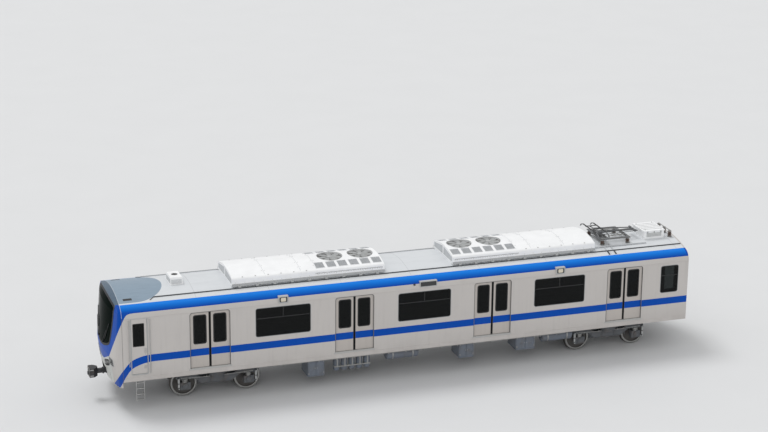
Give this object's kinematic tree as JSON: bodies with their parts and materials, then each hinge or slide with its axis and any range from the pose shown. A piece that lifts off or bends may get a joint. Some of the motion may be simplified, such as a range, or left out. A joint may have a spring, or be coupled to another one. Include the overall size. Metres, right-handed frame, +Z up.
{
  "type": "metro cab car",
  "caption": "Electric metro cab car on two bogies with sliding pocket doors, raked nose, roof air conditioners, folded pantograph, coupler and half gangway",
  "frame": {"origin": "under the middle of the overall length, on the centre line, at the level of the wheel flanges' lowest points", "axes": "+X towards the cab and its coupler, +Y to the car's left side, +Z up"},
  "size_m": [20.77, 3.23, 4.092],
  "materials": {
    "body_paint": "satin",
    "roof_paint": "satin",
    "glazing": "polished",
    "dark_rubber": "matt",
    "gutter_rubber": "matt",
    "lamp_lens": "clear",
    "interior_panel": "matt",
    "desk_plastic": "matt",
    "seat_plastic": "satin",
    "stainless": "brushed",
    "aircon_paint": "satin",
    "insulator_resin": "glossy",
    "pantograph_steel": "satin",
    "underframe_paint": "matt",
    "equipment_paint": "satin",
    "bogie_paint": "matt",
    "wheel_steel": "worn",
    "coupler_steel": "matt"
  },
  "bodies": {
    "carbody": {"underframe": "underframe_paint", "side_walls": "body_paint", "side_glass": "glazing", "saloon_lining": "interior_panel", "roof": "roof_paint", "gutters": "gutter_rubber", "end_wall_rear": "body_paint", "gangway_bellows": "dark_rubber", "cab_front": "body_paint", "windscreen": "glazing", "headlamps": "lamp_lens", "cab_partition": "interior_panel", "driver_desk": "desk_plastic", "driver_seat": "desk_plastic", "benches": "seat_plastic", "grab_poles": "stainless", "cab_rails_steps": "stainless", "aircons": "aircon_paint", "roof_vent": "roof_paint", "insulators": "insulator_resin", "panto_base": "pantograph_steel", "roof_box": "aircon_paint", "coupler_pockets": "coupler_steel", "equipment_boxes": "equipment_paint", "brake_reservoirs": "equipment_paint", "air_tanks": "equipment_paint"},
    "bogie_front": {"bogie_frame_front": "bogie_paint", "suspension_front": "bogie_paint"},
    "wheelset_1": {"wheelset_1": "wheel_steel"},
    "wheelset_2": {"wheelset_2": "wheel_steel"},
    "bogie_rear": {"bogie_frame_rear": "bogie_paint", "suspension_rear": "bogie_paint"},
    "wheelset_3": {"wheelset_3": "wheel_steel"},
    "wheelset_4": {"wheelset_4": "wheel_steel"},
    "door_left_1_front": {"door_left_1_front": "body_paint"},
    "door_left_1_rear": {"door_left_1_rear": "body_paint"},
    "door_left_2_front": {"door_left_2_front": "body_paint"},
    "door_left_2_rear": {"door_left_2_rear": "body_paint"},
    "door_left_3_front": {"door_left_3_front": "body_paint"},
    "door_left_3_rear": {"door_left_3_rear": "body_paint"},
    "door_left_4_front": {"door_left_4_front": "body_paint"},
    "door_left_4_rear": {"door_left_4_rear": "body_paint"},
    "door_right_1_front": {"door_right_1_front": "body_paint"},
    "door_right_1_rear": {"door_right_1_rear": "body_paint"},
    "door_right_2_front": {"door_right_2_front": "body_paint"},
    "door_right_2_rear": {"door_right_2_rear": "body_paint"},
    "door_right_3_front": {"door_right_3_front": "body_paint"},
    "door_right_3_rear": {"door_right_3_rear": "body_paint"},
    "door_right_4_front": {"door_right_4_front": "body_paint"},
    "door_right_4_rear": {"door_right_4_rear": "body_paint"},
    "cab_door_left": {"cab_door_left": "body_paint"},
    "cab_door_right": {"cab_door_right": "body_paint"},
    "partition_door": {"partition_door": "interior_panel"},
    "coupler_front": {"coupler_front": "coupler_steel"},
    "coupler_rear": {"coupler_rear": "coupler_steel"},
    "panto_lower": {"panto_lower_arm": "pantograph_steel"},
    "panto_upper": {"panto_upper_arm": "pantograph_steel"},
    "panto_head": {"collector_head": "pantograph_steel"},
    "panto_rod": {"panto_rod": "pantograph_steel"}
  },
  "joints": [
    {"name": "bogie_front_yaw", "type": "hinge", "parent": "carbody", "child": "bogie_front", "pos_m": [6.365, 0, 0.7], "axis": [0, 0, 1], "range_deg": [-4, 4]},
    {"name": "wheelset_1_spin", "type": "hinge", "parent": "bogie_front", "child": "wheelset_1", "pos_m": [7.415, 0, 0.458], "axis": [0, 1, 0], "continuous": true},
    {"name": "wheelset_2_spin", "type": "hinge", "parent": "bogie_front", "child": "wheelset_2", "pos_m": [5.315, 0, 0.458], "axis": [0, 1, 0], "continuous": true},
    {"name": "bogie_rear_yaw", "type": "hinge", "parent": "carbody", "child": "bogie_rear", "pos_m": [-7.435, 0, 0.7], "axis": [0, 0, 1], "range_deg": [-4, 4]},
    {"name": "wheelset_3_spin", "type": "hinge", "parent": "bogie_rear", "child": "wheelset_3", "pos_m": [-6.385, 0, 0.458], "axis": [0, 1, 0], "continuous": true},
    {"name": "wheelset_4_spin", "type": "hinge", "parent": "bogie_rear", "child": "wheelset_4", "pos_m": [-8.485, 0, 0.458], "axis": [0, 1, 0], "continuous": true},
    {"name": "door_left_1_front_slide", "type": "slide", "parent": "carbody", "child": "door_left_1_front", "axis": [1, 0, 0], "range_m": [0, 0.645]},
    {"name": "door_left_1_rear_slide", "type": "slide", "parent": "carbody", "child": "door_left_1_rear", "axis": [-1, 0, 0], "range_m": [0, 0.645]},
    {"name": "door_left_2_front_slide", "type": "slide", "parent": "carbody", "child": "door_left_2_front", "axis": [1, 0, 0], "range_m": [0, 0.645]},
    {"name": "door_left_2_rear_slide", "type": "slide", "parent": "carbody", "child": "door_left_2_rear", "axis": [-1, 0, 0], "range_m": [0, 0.645]},
    {"name": "door_left_3_front_slide", "type": "slide", "parent": "carbody", "child": "door_left_3_front", "axis": [1, 0, 0], "range_m": [0, 0.645]},
    {"name": "door_left_3_rear_slide", "type": "slide", "parent": "carbody", "child": "door_left_3_rear", "axis": [-1, 0, 0], "range_m": [0, 0.645]},
    {"name": "door_left_4_front_slide", "type": "slide", "parent": "carbody", "child": "door_left_4_front", "axis": [1, 0, 0], "range_m": [0, 0.645]},
    {"name": "door_left_4_rear_slide", "type": "slide", "parent": "carbody", "child": "door_left_4_rear", "axis": [-1, 0, 0], "range_m": [0, 0.645]},
    {"name": "door_right_1_front_slide", "type": "slide", "parent": "carbody", "child": "door_right_1_front", "axis": [1, 0, 0], "range_m": [0, 0.645]},
    {"name": "door_right_1_rear_slide", "type": "slide", "parent": "carbody", "child": "door_right_1_rear", "axis": [-1, 0, 0], "range_m": [0, 0.645]},
    {"name": "door_right_2_front_slide", "type": "slide", "parent": "carbody", "child": "door_right_2_front", "axis": [1, 0, 0], "range_m": [0, 0.645]},
    {"name": "door_right_2_rear_slide", "type": "slide", "parent": "carbody", "child": "door_right_2_rear", "axis": [-1, 0, 0], "range_m": [0, 0.645]},
    {"name": "door_right_3_front_slide", "type": "slide", "parent": "carbody", "child": "door_right_3_front", "axis": [1, 0, 0], "range_m": [0, 0.645]},
    {"name": "door_right_3_rear_slide", "type": "slide", "parent": "carbody", "child": "door_right_3_rear", "axis": [-1, 0, 0], "range_m": [0, 0.645]},
    {"name": "door_right_4_front_slide", "type": "slide", "parent": "carbody", "child": "door_right_4_front", "axis": [1, 0, 0], "range_m": [0, 0.645]},
    {"name": "door_right_4_rear_slide", "type": "slide", "parent": "carbody", "child": "door_right_4_rear", "axis": [-1, 0, 0], "range_m": [0, 0.645]},
    {"name": "cab_door_left_swing", "type": "hinge", "parent": "carbody", "child": "cab_door_left", "pos_m": [8.725, 1.514, 1.254], "axis": [0, 0, -1], "range_deg": [0, 88]},
    {"name": "cab_door_right_swing", "type": "hinge", "parent": "carbody", "child": "cab_door_right", "pos_m": [8.725, -1.514, 1.254], "axis": [0, 0, 1], "range_deg": [0, 88]},
    {"name": "partition_door_swing", "type": "hinge", "parent": "carbody", "child": "partition_door", "pos_m": [8.255, 0.286, 1.234], "axis": [0, 0, -1], "range_deg": [0, 90]},
    {"name": "coupler_front_swing", "type": "hinge", "parent": "carbody", "child": "coupler_front", "pos_m": [9.165, 0, 0.888], "axis": [0, 0, 1], "range_deg": [-15, 15]},
    {"name": "coupler_rear_swing", "type": "hinge", "parent": "carbody", "child": "coupler_rear", "pos_m": [-9.785, 0, 0.888], "axis": [0, 0, 1], "range_deg": [-8, 8]},
    {"name": "panto_raise", "type": "hinge", "parent": "carbody", "child": "panto_lower", "pos_m": [-7.365, 0, 3.9], "axis": [0, 1, 0], "range_deg": [0, 45]},
    {"name": "panto_knuckle", "type": "hinge", "parent": "panto_lower", "child": "panto_upper", "pos_m": [-8.695, 0, 3.93], "axis": [0, -1, 0], "range_deg": [0, 81]},
    {"name": "panto_head_level", "type": "hinge", "parent": "panto_upper", "child": "panto_head", "pos_m": [-7.275, 0, 4.03], "axis": [0, 1, 0], "range_deg": [0, 36]},
    {"name": "panto_rod_swing", "type": "hinge", "parent": "carbody", "child": "panto_rod", "pos_m": [-7.518, 0, 3.9], "axis": [0, 1, 0], "range_deg": [0, 46.98]}
  ],
  "couplings": [
    {"joint": "door_left_1_rear_slide", "follows": "door_left_1_front_slide", "ratio": 1},
    {"joint": "door_left_2_rear_slide", "follows": "door_left_2_front_slide", "ratio": 1},
    {"joint": "door_left_3_rear_slide", "follows": "door_left_3_front_slide", "ratio": 1},
    {"joint": "door_left_4_rear_slide", "follows": "door_left_4_front_slide", "ratio": 1},
    {"joint": "door_right_1_rear_slide", "follows": "door_right_1_front_slide", "ratio": 1},
    {"joint": "door_right_2_rear_slide", "follows": "door_right_2_front_slide", "ratio": 1},
    {"joint": "door_right_3_rear_slide", "follows": "door_right_3_front_slide", "ratio": 1},
    {"joint": "door_right_4_rear_slide", "follows": "door_right_4_front_slide", "ratio": 1},
    {"joint": "panto_knuckle", "follows": "panto_raise", "ratio": 1.8},
    {"joint": "panto_head_level", "follows": "panto_raise", "ratio": 0.8},
    {"joint": "panto_rod_swing", "follows": "panto_raise", "ratio": 1.044}
  ]
}
